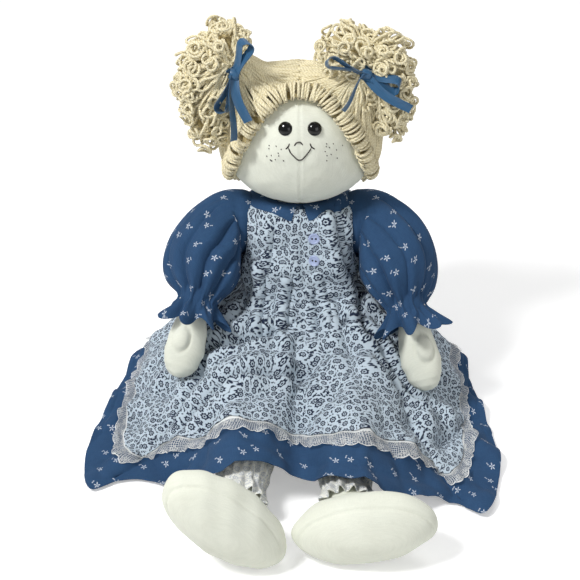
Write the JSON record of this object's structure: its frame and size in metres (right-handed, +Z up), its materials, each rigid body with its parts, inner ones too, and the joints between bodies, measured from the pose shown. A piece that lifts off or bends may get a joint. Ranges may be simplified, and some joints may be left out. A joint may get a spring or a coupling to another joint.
{
  "type": "rag doll",
  "caption": "Seated stuffed cloth doll with turning head, lifting arms and legs, yarn hair in two tied bunches, and a print dress with a lace-edged pinafore.",
  "frame": {"origin": "middle of the flat underside of the seat, on the surface the doll sits on", "axes": "+Z up through the neck, the doll faces -Y with its legs out in front, +X towards its own left"},
  "size_m": [0.4013, 0.4392, 0.3917],
  "materials": {
    "muslin": "plain-woven cotton, off-white",
    "eye_plastic": "glossy black",
    "washer_plastic": "matte white",
    "pantaloon_print": "white cotton with a fine blue print",
    "blue_calico": "mid-blue cotton with small white sprigs",
    "elastic": "covered elastic cord",
    "flower_print": "white cotton with a dense small blue flower print",
    "lace": "off-white cotton lace",
    "button_plastic": "pale periwinkle, satin",
    "yarn": "cream cotton yarn",
    "satin": "blue satin ribbon"
  },
  "bodies": {
    "torso": {"torso": "muslin", "pantaloons_seat": "pantaloon_print", "dress_bodice": "blue_calico", "dress_skirt": "blue_calico", "pinafore_front": "flower_print", "pinafore_back": "flower_print", "pinafore_lace": "lace", "collar_left": "blue_calico", "collar_right": "blue_calico", "button_upper": "button_plastic", "button_lower": "button_plastic"},
    "head": {"head": "muslin", "eye_left": "eye_plastic", "eye_right": "eye_plastic", "eye_washer_left": "washer_plastic", "eye_washer_right": "washer_plastic", "hair_cap": "yarn", "hair_fringe": "yarn", "hair_tie_left": "satin", "hair_tie_right": "satin", "bow_left": "satin", "bow_right": "satin"},
    "arm_left": {"arm_left": "muslin", "sleeve_left": "blue_calico", "sleeve_elastic_left": "elastic"},
    "leg_left": {"leg_left": "muslin", "pantaloons_leg_left": "pantaloon_print"},
    "bunch_left": {"bunch_left": "yarn"},
    "arm_right": {"arm_right": "muslin", "sleeve_right": "blue_calico", "sleeve_elastic_right": "elastic"},
    "leg_right": {"leg_right": "muslin", "pantaloons_leg_right": "pantaloon_print"},
    "bunch_right": {"bunch_right": "yarn"}
  },
  "joints": [
    {"name": "head_turn", "type": "hinge", "parent": "torso", "child": "head", "pos_m": [0, 0.012, 0.205], "axis": [0, 0, 1], "range_deg": [-30, 30]},
    {"name": "shoulder_left", "type": "hinge", "parent": "torso", "child": "arm_left", "pos_m": [0.05155, 0.008, 0.17], "axis": [-1, 0, 0], "range_deg": [0, 65]},
    {"name": "shoulder_right", "type": "hinge", "parent": "torso", "child": "arm_right", "pos_m": [-0.05155, 0.008, 0.17], "axis": [-1, 0, 0], "range_deg": [0, 65]},
    {"name": "hip_left", "type": "hinge", "parent": "torso", "child": "leg_left", "pos_m": [0.037, -0.05545, 0.03], "axis": [-1, 0, 0], "range_deg": [0, 45], "deforming": ["dress_skirt", "pinafore_front", "pinafore_back", "pinafore_lace"]},
    {"name": "hip_right", "type": "hinge", "parent": "torso", "child": "leg_right", "pos_m": [-0.037, -0.05545, 0.03], "axis": [-1, 0, 0], "range_deg": [0, 45], "deforming": ["dress_skirt", "pinafore_front", "pinafore_back", "pinafore_lace"]},
    {"name": "bunch_lift_left", "type": "hinge", "parent": "head", "child": "bunch_left", "pos_m": [0.064, -0.012, 0.3495], "axis": [0, -1, 0], "range_deg": [0, 15]},
    {"name": "bunch_lift_right", "type": "hinge", "parent": "head", "child": "bunch_right", "pos_m": [-0.064, -0.012, 0.3495], "axis": [0, 1, 0], "range_deg": [0, 15]}
  ]
}
